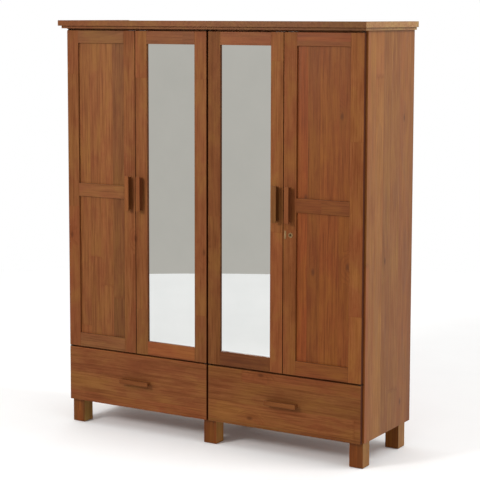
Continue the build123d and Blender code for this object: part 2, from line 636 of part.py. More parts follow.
# ---- Lock on the fourth door --------------------------------------------------------------------------------
def build_lock():
    """A surface lock: case and barrel, a turning plug, a sliding bolt, its plates and the strike."""
    edge = FRONT_OUTER - DOOR_WIDTH
    centre = (edge + LOCK_FROM_EDGE, LOCK_HEIGHT)
    case_x = span(edge + CASE_EDGE_INSET, CASE_WIDTH)
    case_y = span(FRONT_BACK, CASE_DEPTH)
    bolt_y0 = FRONT_BACK + (CASE_DEPTH - BOLT_DEPTH) / 2
    bolt_y = (bolt_y0, bolt_y0 + BOLT_DEPTH)
    bolt_z = (LOCK_HEIGHT - BOLT_HEIGHT / 2, LOCK_HEIGHT + BOLT_HEIGHT / 2)
    room_y = (bolt_y[0] - BOLT_SLACK, bolt_y[1] + BOLT_SLACK)
    room_z = (bolt_z[0] - BOLT_SLACK, bolt_z[1] + BOLT_SLACK)
    plug_back = FRONT_BACK + PLUG_TAIL

    with BuildPart() as case:
        block(case_x, case_y, (LOCK_HEIGHT - CASE_HEIGHT / 2, LOCK_HEIGHT + CASE_HEIGHT / 2))
        fillet(case.faces().sort_by(Axis.Y)[-1].edges(), radius=EASE)
        block((case_x[0], case_x[0] + BOLT_LENGTH + BOLT_SLACK), room_y, room_z, Mode.SUBTRACT)
        disc(centre, BARREL_RADIUS, (FACE, FRONT_BACK))
        disc(centre, PLUG_RADIUS + RUNNING_CLEARANCE, (FACE, plug_back + RUNNING_CLEARANCE), Mode.SUBTRACT)
    save("lock_case", case.part)

    with BuildPart() as plug:
        disc(centre, PLUG_RADIUS, (FACE, plug_back))
        keyway_x = (centre[0] - KEYWAY_WIDTH / 2, centre[0] + KEYWAY_WIDTH / 2)
        keyway_z = (LOCK_HEIGHT - KEYWAY_HEIGHT / 2, LOCK_HEIGHT + KEYWAY_HEIGHT / 2)
        block(keyway_x, span(FACE, KEYWAY_DEPTH), keyway_z, Mode.SUBTRACT)
    save("lock_plug", plug.part)

    bolt = board((case_x[0], case_x[0] + BOLT_LENGTH), bolt_y, bolt_z, EASE)
    save("lock_bolt", bolt)

    with BuildPart() as rose:
        disc(centre, ROSE_RADIUS, (FACE - PLATE_THICKNESS, FACE))
        fillet(rose.faces().sort_by(Axis.Y)[0].edges(), radius=PLATE_THICKNESS / 2)
        disc(centre, PLUG_RADIUS + RUNNING_CLEARANCE, (FACE - PLATE_THICKNESS, FACE), Mode.SUBTRACT)
    face_plate = board(
        span(edge + FACE_PLATE_FROM_EDGE, FACE_PLATE_WIDTH),
        (FACE - PLATE_THICKNESS, FACE),
        (LOCK_HEIGHT - FACE_PLATE_HEIGHT / 2, LOCK_HEIGHT + FACE_PLATE_HEIGHT / 2),
        FACE_PLATE_EASE,
    )
    save("lock_plates", rose.part, face_plate)

    strike_right = FRONT_INNER + DOOR_WIDTH - STRIKE_EDGE_INSET
    strike_x = (strike_right - STRIKE_WIDTH, strike_right)
    with BuildPart() as strike:
        block(strike_x, case_y, (LOCK_HEIGHT - STRIKE_HEIGHT / 2, LOCK_HEIGHT + STRIKE_HEIGHT / 2))
        pocket_y = (bolt_y[0] - STRIKE_SLACK, bolt_y[1] + STRIKE_SLACK)
        pocket_z = (bolt_z[0] - STRIKE_WALL, bolt_z[1] + STRIKE_WALL)
        block((strike_x[0] + STRIKE_WALL, strike_x[1]), pocket_y, pocket_z, Mode.SUBTRACT)
    save("lock_strike", strike.part)


# ---- Drawers ------------------------------------------------------------------------------------------------
def build_drawer(name, reflect):
    """One drawer of the lower tier. It is laid out on the right and reflected for the left."""
    place = mirrored if reflect else (lambda piece: piece)
    box_x = (DIVIDER_FACE + RUNNER_SPACE, SIDE_INNER - RUNNER_SPACE)
    inner_x = (box_x[0] + BOX_BOARD, box_x[1] - BOX_BOARD)
    bottom_z = span(BOX_BOTTOM + DRAWER_BOTTOM_LIFT, DRAWER_BOTTOM_THICKNESS)
    bottom_x = (inner_x[0] - DRAWER_BOTTOM_GROOVE, inner_x[1] + DRAWER_BOTTOM_GROOVE)
    bottom_y = (FRONT_BACK - DRAWER_BOTTOM_GROOVE, BOX_REAR)

    with BuildPart() as front:
        block((FRONT_INNER, FRONT_OUTER), (FACE, FRONT_BACK), (LEG_HEIGHT, DRAWER_TOP))
        fillet(front.faces().sort_by(Axis.Y)[0].edges(), radius=EASE)
        block(bottom_x, bottom_y, bottom_z, Mode.SUBTRACT)
    save(f"{name}_front", place(front.part))

    boards = []
    for outer, inward in ((box_x[0], 1), (box_x[1], -1)):
        with BuildPart() as side:
            block(span(outer, inward * BOX_BOARD), (FRONT_BACK, BOX_REAR), (BOX_BOTTOM, BOX_TOP))
            block(bottom_x, bottom_y, bottom_z, Mode.SUBTRACT)
        boards.append(place(side.part))
    rear_board = board(inner_x, (BOX_REAR - BOX_BOARD, BOX_REAR), (bottom_z[1], BOX_TOP))
    save(f"{name}_box_boards", *boards, place(rear_board))
    save(f"{name}_bottom", place(board(bottom_x, bottom_y, bottom_z)))

    slide_height = RUNNER_HEIGHT - 2 * RUNNER_WALL - 2 * RUNNER_CLEARANCE
    slide_y = span(CARCASS_FRONT + RUNNER_SET_BACK, BOX_LENGTH - 2 * RUNNER_SET_BACK)
    slides = [
        runner_channel(box_x[0], -1, slide_height, slide_y),
        runner_channel(box_x[1], 1, slide_height, slide_y),
    ]
    save(f"{name}_slides", *[place(slide) for slide in slides])

    centre = ((FRONT_INNER + FRONT_OUTER) / 2, (LEG_HEIGHT + DRAWER_TOP) / 2)
    save(f"{name}_handle", place(handle(centre, False)))


os.makedirs("parts", exist_ok=True)
build_carcass()
build_doors()
build_lock()
build_drawer("drawer_left", True)
build_drawer("drawer_right", False)
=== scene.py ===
"""Looks of the four-door armoire: its materials, screws, light and camera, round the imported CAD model.

Lengths are in metres, in the frame of the CAD model: +Z up, doors facing -Y, +X to the right of a person who
faces the doors. Texture coordinates are the object's own, which equal the frame's at rest and ride with a body.
"""
import math

import bmesh
import bpy
from mathutils import Matrix, Vector


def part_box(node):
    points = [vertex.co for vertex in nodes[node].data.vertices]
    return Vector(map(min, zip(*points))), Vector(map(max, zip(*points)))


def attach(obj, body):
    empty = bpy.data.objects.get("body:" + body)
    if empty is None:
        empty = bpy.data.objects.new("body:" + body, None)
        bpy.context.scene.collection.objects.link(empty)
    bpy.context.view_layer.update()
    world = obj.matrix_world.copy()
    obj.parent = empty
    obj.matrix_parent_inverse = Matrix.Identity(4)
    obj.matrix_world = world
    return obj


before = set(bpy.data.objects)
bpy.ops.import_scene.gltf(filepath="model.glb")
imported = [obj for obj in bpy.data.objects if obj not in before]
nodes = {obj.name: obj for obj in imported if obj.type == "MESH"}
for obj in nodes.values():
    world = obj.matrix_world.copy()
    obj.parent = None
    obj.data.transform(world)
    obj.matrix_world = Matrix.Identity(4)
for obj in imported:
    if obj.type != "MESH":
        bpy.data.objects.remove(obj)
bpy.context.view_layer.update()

X, Y, Z = 0, 1, 2
ROUND_CORNERS = 3               # grain that runs along X in front and along Y at the sides
WHITE = (1.0, 1.0, 1.0, 1.0)


# ---- Node trees ---------------------------------------------------------------------------------------------
BEVEL_SAMPLES = 4
FACE_COSINE, ARRIS_COSINE = 0.995, 0.80      # between the true and the rounded normal, off and on an arris


class Graph:
    """Short calls that build the node tree of one material."""

    def __init__(self, name):
        self.material = bpy.data.materials.new(name)
        self.material.use_nodes = True
        self.tree = self.material.node_tree
        self.tree.nodes.clear()
        coordinates = self.tree.nodes.new("ShaderNodeTexCoord")
        self.place = coordinates.outputs["Object"]
        self.facing = coordinates.outputs["Normal"]

    def feed(self, socket, value):
        """Link a socket to another, or set it to a number, a vector or a colour."""
        if isinstance(value, bpy.types.NodeSocket):
            self.tree.links.new(value, socket)
        elif value is not None:
            socket.default_value = value

    def add(self, kind, inputs=None, **settings):
        node = self.tree.nodes.new("ShaderNode" + kind)
        for key, value in settings.items():
            setattr(node, key, value)
        for key, value in (inputs or {}).items():
            self.feed(node.inputs[key], value)
        return node

    def math(self, operation, a, b=None, c=None):
        return self.add("Math", {0: a, 1: b, 2: c}, operation=operation).outputs[0]

    def total(self, base, *terms):
        """A base plus each value times its weight."""
        for value, weight in terms:
            base = self.math("MULTIPLY_ADD", value, weight, base)
        return base

    def split(self, vector):
        return self.add("SeparateXYZ", {0: vector}).outputs

    def join(self, x, y, z):
        return self.add("CombineXYZ", {0: x, 1: y, 2: z}).outputs[0]

    def noise(self, vector, scale, detail=2.0, roughness=0.5, distortion=0.0):
        inputs = {
            "Vector": vector, "Scale": scale, "Detail": detail, "Roughness": roughness, "Distortion": distortion,
        }
        return self.add("TexNoise", inputs).outputs["Fac"]

    def cells(self, value, offset, feature="F1"):
        """Irregular steps along one number. Gives the node, for its random colour or its distance to the step."""
        inputs = {"W": self.math("ADD", value, offset), "Scale": 1.0}
        return self.add("TexVoronoi", inputs, voronoi_dimensions="1D", feature=feature)

    def between(self, value, low, high, to_low=0.0, to_high=1.0):
        """A value taken from one range to another, and held at its ends."""
        inputs = {"Value": value, 1: low, 2: high, 3: to_low, 4: to_high}
        return self.add("MapRange", inputs, clamp=True).outputs[0]

    def along(self, axis, start, full, strength=1.0):
        """A strength on the faces that look along an axis, either way: none at one cosine, all of it at another."""
        return self.between(self.math("ABSOLUTE", self.split(self.facing)[axis]), start, full, 0.0, strength)

    def blend(self, factor, a, b, mode="MIX"):
        """Two colours mixed by a factor."""
        node = self.add("Mix", data_type="RGBA", blend_type=mode)
        self.feed(node.inputs["Factor"], factor)
        self.feed(node.inputs["A"], a)
        self.feed(node.inputs["B"], b)
        return node.outputs["Result"]

    def multiply(self, colour, by):
        return self.blend(1.0, colour, by, "MULTIPLY")

    def rounded(self, radius):
        """The normal as if the arrises had a radius."""
        return self.add("Bevel", {"Radius": radius}, samples=BEVEL_SAMPLES).outputs[0]

    def edge(self, width):
        """1 along the arrises of the piece, falling to 0 on its faces."""
        flat = self.add("NewGeometry").outputs["Normal"]
        cosine = self.add("VectorMath", {0: self.rounded(width), 1: flat}, operation="DOT_PRODUCT")
        return self.between(cosine.outputs["Value"], FACE_COSINE, ARRIS_COSINE)

    def bump(self, height, strength, distance, rounding=None):
        """A bumped normal, over arrises with a radius if rounding gives one."""
        inputs = {"Height": height, "Strength": strength, "Distance": distance}
        if rounding:
            inputs["Normal"] = self.rounded(rounding)
        return self.add("Bump", inputs).outputs[0]

    def finish(self, **inputs):
        """Add the shader, set or link its sockets, and give the material back."""
        shader = self.add("BsdfPrincipled", {key.replace("_", " "): value for key, value in inputs.items()})
        output = self.tree.nodes.new("ShaderNodeOutputMaterial")
        self.tree.links.new(shader.outputs[0], output.inputs["Surface"])
        return self.material


# ---- The figure of the wood ---------------------------------------------------------------------------------
PIECE_LENGTH = 0.80             # usual length between the finger joints of a board
UNJOINTED = 4.0                 # longer than any board, so that few have a joint
FINGER_PITCH = 0.0018
FINGER_SLOPE = 3.2              # run of a finger along the grain, for each metre through the board
GLUE_LINE = (0.016, 0.004)      # distance from a glue line, in boards: none of it, all of it
JOINT_LINE = (0.0034, 0.0012)   # and from a finger joint, in pieces

# how far noise is squeezed along the grain: for lines, for clouds and the bend of the rings, for stain patches
SQUEEZES = (0.040, 0.22, 0.45)

KNOT_ACROSS, KNOT_ALONG = 0.17, 0.34         # size of the cells that may hold a knot
KNOT_THRESHOLD = 0.74                        # cells whose random number is over this one have it
KNOT_CORE = (0.060, 0.018)                   # distance from its middle, in cells: none of it, all of it
KNOT_HALO = (0.22, 0.02)

RING_PITCH = 0.0052
SPARSE_RINGS, DENSE_RINGS = 0.55 / RING_PITCH, 1.45 / RING_PITCH     # rings per metre, from board to board
HEART_ASIDE, HEART_ASIDE_SPREAD = 0.05, 0.16     # where the tree's heart lies, across the board
HEART_BELOW, HEART_BELOW_SPREAD = 0.012, 0.05    # and through it
RING_BEND = 0.030               # how far noise moves the rings,
KNOT_BEND = 0.016               # and how far a knot does
LATEWOOD_RISE = 2.6             # power by which a ring darkens towards its end
LATEWOOD_END = 0.94             # share of a ring at which the dark line breaks off


def wood_coordinates(g, grain, across):
    """Place along the grain, across the glued-up boards, and through their thickness."""
    place = g.split(g.place)
    if grain == ROUND_CORNERS:
        return g.math("ADD", place[X], place[Y]), place[Z], g.math("SUBTRACT", place[X], place[Y])
    through = X + Y + Z - grain - across
    return place[grain], place[across], place[through]


def knots(g, u, v):
    """The knots, and the halos of bent grain round them."""
    place = g.join(g.math("MULTIPLY", v, 1 / KNOT_ACROSS), g.math("MULTIPLY", u, 1 / KNOT_ALONG), 0.0)
    cell = g.add("TexVoronoi", {"Vector": place, "Scale": 1.0}, voronoi_dimensions="2D")
    present = g.math("GREATER_THAN", g.split(cell.outputs["Color"])[0], KNOT_THRESHOLD)
    reach = cell.outputs["Distance"]
    return [g.math("MULTIPLY", g.between(reach, *limits), present) for limits in (KNOT_CORE, KNOT_HALO)]


def growth_rings(g, side, depth, density, drift, halo):
    """Dark latewood lines, at a distance from the tree's heart given by its two parts, bent and faded by noise."""
    radius = g.math("SQRT", g.math("ADD", g.math("POWER", side, 2.0), g.math("POWER", depth, 2.0)))
    bend = g.math("SUBTRACT", g.noise(drift, 4.0, 2.0, 0.45), 0.5)
    radius = g.total(radius, (bend, RING_BEND), (halo, KNOT_BEND))
    wave = g.math("FRACT", g.math("MULTIPLY", radius, density))
    line = g.math("MULTIPLY", g.math("POWER", wave, LATEWOOD_RISE), g.between(wave, 1.0, LATEWOOD_END))
    return g.math("MULTIPLY", line, g.between(g.noise(drift, 17.0, 2.0, 0.5), 0.38, 0.62, 0.20, 1.0))


def wood_figure(g, grain, across, seed, board_width, piece_length=PIECE_LENGTH):
    """The pattern of glued-up, finger-jointed softwood boards, as a dict of factors from 0 to 1."""
    u, v, w = wood_coordinates(g, grain, across)

    # three random numbers for each board, and three for each piece between two finger joints
    boards = g.math("MULTIPLY", v, 1.0 / board_width)
    board = g.split(g.cells(boards, seed).outputs["Color"])
    glue = g.cells(boards, seed, "DISTANCE_TO_EDGE").outputs["Distance"]
    fingers = g.math("MULTIPLY", g.math("PINGPONG", w, FINGER_PITCH), FINGER_SLOPE)
    pieces = g.math("ADD", g.math("MULTIPLY", g.math("ADD", u, fingers), 1.0 / piece_length), seed * 1.7)
    pieces = g.total(pieces, (board[0], 23.0))
    piece = g.split(g.cells(pieces, 0.0).outputs["Color"])
    joint = g.cells(pieces, 0.0, "DISTANCE_TO_EDGE").outputs["Distance"]

    # noise that starts elsewhere in each piece
    shifted = g.math("ADD", v, g.total(0.0, (board[1], 11.0), (piece[2], 7.0)))
    fine, drift, patch = (g.join(shifted, w, g.math("MULTIPLY", u, squeeze)) for squeeze in SQUEEZES)

    knot, halo = knots(g, u, v)
    heart = g.total(HEART_ASIDE, (g.math("SUBTRACT", piece[0], 0.5), HEART_ASIDE_SPREAD))
    side = g.math("SUBTRACT", g.math("MULTIPLY", glue, board_width), heart)
    depth = g.total(g.math("ADD", w, HEART_BELOW), (piece[1], HEART_BELOW_SPREAD))
    density = g.total(SPARSE_RINGS, (board[1], DENSE_RINGS - SPARSE_RINGS))

    return {
        "board": board[2],
        "piece": piece[1],
        "hue": piece[0],
        "tint": board[0],
        "ring": growth_rings(g, side, depth, density, drift, halo),
        # noises: place, scale per metre, detail, roughness, distortion
        "band": g.noise(fine, 58.0, 3.0, 0.65),
        "streak": g.noise(fine, 150.0, 3.0, 0.6),
        "fibre": g.noise(fine, 900.0, 2.0, 0.6),
        "cloud": g.noise(drift, 7.0, 3.0, 0.5),
        "mottle": g.noise(patch, 13.0, 4.0, 0.62, 0.4),
        "knot": knot,
        "halo": halo,
        "glue": g.between(glue, *GLUE_LINE),
        "joint": g.between(joint, *JOINT_LINE),
    }


def washes(g, figure, colour, *layers):
    """Colours laid over one another, each as (factor, its value for none, for all, strength, colour)."""
    for factor, none, full, strength, wash in layers:
        colour = g.blend(g.between(figure[factor], none, full, 0.0, strength), colour, wash)
    return colour


def shading(g, figure, base, **weights):
    """A base plus each factor's distance from its middle, times its weight."""
    terms = [(g.math("SUBTRACT", figure[factor], 0.5), weight) for factor, weight in weights.items()]
    return g.total(base, *terms)


# ---- Wood ---------------------------------------------------------------------------------------------------
STAIN_DARK = (0.110, 0.028, 0.0065, 1.0)     # latewood lines
STAIN_MID = (0.185, 0.057, 0.0165, 1.0)
STAIN_LIGHT = (0.262, 0.092, 0.0300, 1.0)    # pale earlywood
STAIN_RED = (0.238, 0.054, 0.0190, 1.0)
STAIN_GREEN = (0.186, 0.081, 0.0170, 1.0)
EDGE_STAIN_AND_SHADE = (0.042, 0.0070, 0.0012, 1.0)  # stain on cut edges; painted shade on outer rims and handle flanks
KNOT = (0.050, 0.014, 0.005, 1.0)
CLEAR_DARK = (0.36, 0.19, 0.075, 1.0)
CLEAR_LIGHT = (0.62, 0.40, 0.20, 1.0)
WARM_GLOSS = (1.0, 0.80, 0.62, 1.0)          # tint of the varnish's highlights

GRAIN_RELIEF = 0.0002
PLY_RELIEF = 0.0003
EASED_ARRIS = 0.0008            # radius that the bump's normal gives to the arrises
STAINED_WEAR = 0.0022           # width of the edge wear
CLEAR_WEAR = 0.002
RIM_NONE, RIM_FULL = 0.003, 0.001            # distance in from a rim: none of its painted shade, all of it


def painted_shade_mask(g, axis, darkness, rim):
    """Painted shade: on faces along an axis, or only on those at a rim of (middle, half width)."""
    mask = g.along(axis, 0.75, 0.98, darkness)
    if rim:
        middle_of_rim, half_width = rim
        reach = g.math("ABSOLUTE", g.math("SUBTRACT", g.split(g.place)[axis], middle_of_rim))
        mask = g.math("MULTIPLY", mask, g.between(reach, half_width - RIM_NONE, half_width - RIM_FULL))
    return mask


def stained_pine(
    name, grain, across, seed, board_width, cast, contrast=1.3, roughness=0.40, piece_length=PIECE_LENGTH,
    painted_shade=None, painted_light=None, shine=0.20,
):
    """Softwood under a red-brown stain and satin varnish.

    Cast multiplies the colour, and shine is the specular level. Painted shade is what the shade mask takes: (axis,
    darkness, rim or None). Painted light is (axis, lift), where lift multiplies the colour of faces along the axis.
    """
    g = Graph(name)
    f = wood_figure(g, grain, across, seed, board_width, piece_length)

    colour = g.blend(g.between(f["streak"], 0.62, 0.26), STAIN_MID, STAIN_LIGHT)
    hue = g.total(0.0, (f["hue"], 0.4), (f["tint"], 0.6))
    colour = g.blend(g.between(hue, 0.40, 0.85, 0.0, 0.70), colour, STAIN_RED)
    colour = washes(
        g, f, colour,
        ("mottle", 0.50, 0.66, 0.34 * contrast, STAIN_RED),
        ("mottle", 0.50, 0.36, 0.30 * contrast, STAIN_GREEN),
        ("cloud", 0.50, 0.70, 0.35, STAIN_GREEN),
    )
    ring = g.math("MULTIPLY", f["ring"], g.between(f["piece"], 0.0, 1.0, 0.16 * contrast, 0.50 * contrast))
    colour = washes(
        g, f, g.blend(ring, colour, STAIN_DARK),
        ("band", 0.50, 0.66, 0.30 * contrast, STAIN_DARK),
        ("streak", 0.54, 0.70, 0.32 * contrast, STAIN_DARK),
        ("fibre", 0.55, 0.75, 0.40, STAIN_DARK),
    )

    shade = shading(g, f, 1.0, board=0.34 * contrast, piece=0.12, cloud=0.30, mottle=-0.60 * contrast)
    colour = g.multiply(colour, g.join(*[g.math("MULTIPLY", shade, part) for part in cast]))
    # painted light: the faces along the axis made lighter
    if painted_light:
        axis, lift = painted_light
        colour = g.blend(g.along(axis, 0.6, 0.9), colour, g.multiply(colour, lift))

    colour = g.blend(g.math("MULTIPLY", f["halo"], 0.22), colour, STAIN_DARK)
    colour = g.blend(g.math("MULTIPLY", f["knot"], 0.62), colour, KNOT)
    seam = g.math("MAXIMUM", g.math("MULTIPLY", f["glue"], 0.22), g.math("MULTIPLY", f["joint"], 0.24))
    colour = g.blend(seam, colour, STAIN_DARK)
    worn = g.math("MULTIPLY", g.edge(STAINED_WEAR), g.between(f["cloud"], 0.3, 0.7, 0.30, 0.65))
    colour = g.blend(worn, colour, EDGE_STAIN_AND_SHADE)
    # painted shade on rims or handle flanks, in the stain's darkest colour
    if painted_shade:
        colour = g.blend(painted_shade_mask(g, *painted_shade), colour, EDGE_STAIN_AND_SHADE)

    relief = g.total(0.0, (f["fibre"], 0.5), (f["ring"], -0.6), (seam, -1.5))
    return g.finish(
        Base_Color=colour,
        Roughness=g.total(roughness, (f["streak"], 0.16), (f["ring"], -0.08)),
        Normal=g.bump(relief, 0.35, GRAIN_RELIEF, EASED_ARRIS),
        IOR=1.47,
        Specular_IOR_Level=shine,
        Specular_Tint=WARM_GLOSS,
    )


def clear_pine(name, grain, across, seed, board_width):
    """Pale softwood under a clear sealer."""
    g = Graph(name)
    f = wood_figure(g, grain, across, seed, board_width)
    colour = g.blend(g.between(f["streak"], 0.3, 0.7), CLEAR_LIGHT, CLEAR_DARK)
    colour = g.blend(g.math("MULTIPLY", f["ring"], 0.55), colour, CLEAR_DARK)
    shade = shading(g, f, 0.99, board=0.18)
    colour = g.multiply(colour, g.join(shade, shade, shade))
    colour = g.blend(g.math("MULTIPLY", f["knot"], 0.8), colour, STAIN_DARK)
    colour = g.blend(g.math("MAXIMUM", g.math("MULTIPLY", f["glue"], 0.3), f["joint"]), colour, CLEAR_DARK)
    colour = g.blend(g.math("MULTIPLY", g.edge(CLEAR_WEAR), 0.35), colour, CLEAR_DARK)
    relief = g.total(0.0, (f["fibre"], 0.5), (f["ring"], -0.6))
    return g.finish(
        Base_Color=colour,
        Roughness=g.total(0.48, (f["streak"], 0.2)),
        Normal=g.bump(relief, 0.4, GRAIN_RELIEF, EASED_ARRIS),
        Specular_IOR_Level=0.4,
    )


def plywood(name, seed):
    """The stained sheet that closes the back, with a wide figure and no finger joints."""
    g = Graph(name)
    f = wood_figure(g, Z, X, seed, 0.36, UNJOINTED)
    colour = g.blend(g.between(f["streak"], 0.3, 0.7), STAIN_LIGHT, STAIN_MID)
    colour = g.blend(g.math("MULTIPLY", f["ring"], 0.45), colour, STAIN_DARK)
    colour = g.blend(g.between(f["cloud"], 0.5, 0.75, 0.0, 0.4), colour, STAIN_RED)
    colour = g.blend(g.math("MULTIPLY", g.edge(CLEAR_WEAR), 0.5), colour, EDGE_STAIN_AND_SHADE)
    return g.finish(
        Base_Color=colour,
        Roughness=g.total(0.50, (f["fibre"], 0.25)),
        Normal=g.bump(f["fibre"], 0.4, PLY_RELIEF),
        Specular_IOR_Level=0.35,
    )


# ---- Other materials ----------------------------------------------------------------------------------------
HARDBOARD_DARK = (0.085, 0.040, 0.018, 1.0)
HARDBOARD_LIGHT = (0.19, 0.105, 0.052, 1.0)
HARDBOARD_PATCH = (0.12, 0.060, 0.028, 1.0)
HARDBOARD_EDGE = (0.24, 0.15, 0.08, 1.0)
SILVER = (0.80, 0.81, 0.80, 1.0)
SILVER_HAZE = (0.76, 0.775, 0.765, 1.0)
GROUND_EDGE = (0.30, 0.42, 0.38, 1.0)
UNBRUSHED = (1.0, 1.0, 1.0)
BRUSHED_ALONG_X = (0.06, 1.0, 1.0)

# width of the edge wear, depth of the relief, and radius that the bump's normal gives to the arrises
BOARD_WEAR, BOARD_RELIEF = 0.002, 0.0003
GLASS_WEAR = 0.0015
METAL_WEAR, METAL_RELIEF, METAL_ARRIS = 0.0008, 0.00006, 0.0003
PLASTIC_WEAR, PLASTIC_RELIEF, PLASTIC_ARRIS = 0.001, 0.0001, 0.0004


def hardboard(name):
    g = Graph(name)
    fibres = g.noise(g.place, 260.0, 5.0, 0.7, 0.6)
    patch = g.noise(g.place, 9.0, 3.0, 0.5)
    colour = g.blend(g.between(fibres, 0.35, 0.70), HARDBOARD_DARK, HARDBOARD_LIGHT)
    colour = g.blend(g.between(patch, 0.4, 0.7, 0.0, 0.4), colour, HARDBOARD_PATCH)
    colour = g.blend(g.edge(BOARD_WEAR), colour, HARDBOARD_EDGE)
    rough = g.between(fibres, 0.3, 0.7, 0.62, 0.85)
    return g.finish(Base_Color=colour, Roughness=rough, Normal=g.bump(fibres, 0.5, BOARD_RELIEF))


def silvered_glass(name):
    """The mirrors: almost clean, with a faint haze and a slightly green, ground edge."""
    g = Graph(name)
    haze = g.noise(g.place, 6.0, 4.0, 0.55)
    edge = g.edge(GLASS_WEAR)
    colour = g.blend(g.between(haze, 0.3, 0.8), SILVER, SILVER_HAZE)
    colour = g.blend(edge, colour, GROUND_EDGE)
    rough = g.total(g.between(haze, 0.35, 0.8, 0.004, 0.020), (edge, 0.25))
    return g.finish(Base_Color=colour, Roughness=rough, Metallic=1.0)


def metal(name, dull, bright, roughness, squeeze=UNBRUSHED):
    """Plated or bare metal: fine brushing, faint clouding, and edges rubbed bright."""
    g = Graph(name)
    place = g.split(g.place)
    squeezed = g.join(*[g.math("MULTIPLY", place[axis], squeeze[axis]) for axis in (X, Y, Z)])
    lines = g.noise(squeezed, 400.0, 3.0, 0.6)
    cloud = g.noise(g.place, 30.0, 4.0, 0.6)
    colour = g.blend(g.between(cloud, 0.35, 0.70), dull, bright)
    rubbed = tuple(min(1.0, channel * 1.25) for channel in bright)
    colour = g.blend(g.math("MULTIPLY", g.edge(METAL_WEAR), 0.7), colour, rubbed)
    return g.finish(
        Base_Color=colour,
        Roughness=g.total(roughness, (lines, 0.14), (cloud, 0.10)),
        Metallic=1.0,
        Normal=g.bump(lines, 0.25, METAL_RELIEF, METAL_ARRIS),
    )


def moulded_plastic(name, colour):
    g = Graph(name)
    grain = g.noise(g.place, 1400.0, 2.0, 0.6)
    rub = g.noise(g.place, 40.0, 3.0, 0.6)
    paler = tuple(channel * 1.7 for channel in colour[:3]) + (1.0,)
    shade = g.blend(g.between(rub, 0.35, 0.75, 0.0, 0.35), colour, paler)
    shade = g.blend(g.math("MULTIPLY", g.edge(PLASTIC_WEAR), 0.5), shade, paler)
    rough = g.between(rub, 0.3, 0.8, 0.42, 0.62)
    relief = g.bump(grain, 0.3, PLASTIC_RELIEF, PLASTIC_ARRIS)
    return g.finish(Base_Color=shade, Roughness=rough, Normal=relief)


zinc = metal("zinc_plate", (0.42, 0.43, 0.44, 1.0), (0.62, 0.63, 0.64, 1.0), 0.26)
bronzed = metal("bronzed_steel", (0.030, 0.016, 0.010, 1.0), (0.060, 0.034, 0.020, 1.0), 0.50)
chrome = metal("chrome_plate", (0.60, 0.60, 0.61, 1.0), (0.74, 0.74, 0.75, 1.0), 0.10, BRUSHED_ALONG_X)
brass = metal("aged_brass", (0.13, 0.076, 0.032, 1.0), (0.25, 0.155, 0.075, 1.0), 0.38)
dark_brass = metal("worn_dark_brass", (0.050, 0.032, 0.014, 1.0), (0.10, 0.068, 0.034, 1.0), 0.42)
plastic = moulded_plastic("brown_plastic", (0.030, 0.014, 0.008, 1.0))


# ---- The materials put on the CAD nodes ---------------------------------------------------------------------
# Seeds are arbitrary: they only have to differ, so that no two looks share their boards.
WHOLE_BOARD = 0.30              # wider than any stile, rail or handle, so that it is cut from one board
PANEL_BOARD, PANEL_PIECE = 0.075, 3.0        # widths of glued-up boards, and the lengths of their pieces
DRAWER_BOARD, DRAWER_PIECE = 0.085, 2.4
SIDE_BOARD = 0.072
INSIDE_BOARD = 0.080
BOX_BOARD, BOX_PLY = 0.10, 0.40
LEG_BOARD = 0.031

FRONT_SHINE = 0.08
GRIP_SHINE = 0.12
GRIP_CONTRAST = 0.6
SIDE_CONTRAST = 0.75
INSIDE_ROUGHNESS = 0.44
RIM_PAINTED_SHADE = 0.90             # painted shade on the narrow outer edges of stiles and drawer fronts
FLANK_PAINTED_SHADE = 0.36           # painted shade on a handle's flanks

# Casts multiply the stain's colour, and lifts, which are painted light, multiply it once more on the faces along X.
DOORS = {
    # casts of the stiles, rails and panels
    "door_1": ((0.68, 0.71, 0.80), (0.73, 0.83, 0.83), (0.67, 0.68, 0.62)),
    "door_2": ((0.67, 0.72, 0.79), (0.75, 0.67, 0.57), None),
    "door_3": ((0.76, 0.83, 0.83), (0.59, 0.55, 0.42), None),
    "door_4": ((0.88, 0.89, 0.89), (0.67, 0.57, 0.41), (0.67, 0.55, 0.34)),
}
GRIP_CAST = (0.66, 0.72, 0.68)
BEAD_CAST = (0.74, 0.74, 0.74)
DRAWERS = {"drawer_left": (0.78, 0.83, 0.88), "drawer_right": (0.68, 0.71, 0.72)}
DRAWER_GRIP_CAST = (0.64, 0.62, 0.56)
# the side panels' tone, made lighter and greener by painted light for the sheen on the sides
SIDE_TONE_AND_LIGHT = (1.05, 1.21, 1.01)
INSIDE_CAST = (0.88, 0.88, 0.84)
CORNICE_CAST = (0.55, 0.59, 0.48)
CORNICE_END_PAINTED_LIGHT = (2.4, 3.7, 5.8, 1.0)
LEG_CAST = (0.62, 0.56, 0.26)
LEG_SIDE_PAINTED_LIGHT = (2.1, 3.4, 5.2, 1.0)


def set_look(material, *names):
    """Put one material on CAD nodes."""
    for name in names:
        slots = nodes[name].data.materials
        slots.clear()
        slots.append(material)


def shaded_rim(node):
    """Painted shade on the two outer edges of a node along X, for the shade in the gaps beside them."""
    low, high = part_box(node)
    return X, RIM_PAINTED_SHADE, ((low.x + high.x) / 2, (high.x - low.x) / 2)


def grip_pine(name, grain, across, seed, cast):
    """A handle of one plain board, with painted shade on its flanks."""
    return stained_pine(
        name, grain, across, seed, WHOLE_BOARD, cast, GRIP_CONTRAST,
        painted_shade=(across, FLANK_PAINTED_SHADE, None), shine=GRIP_SHINE,
    )


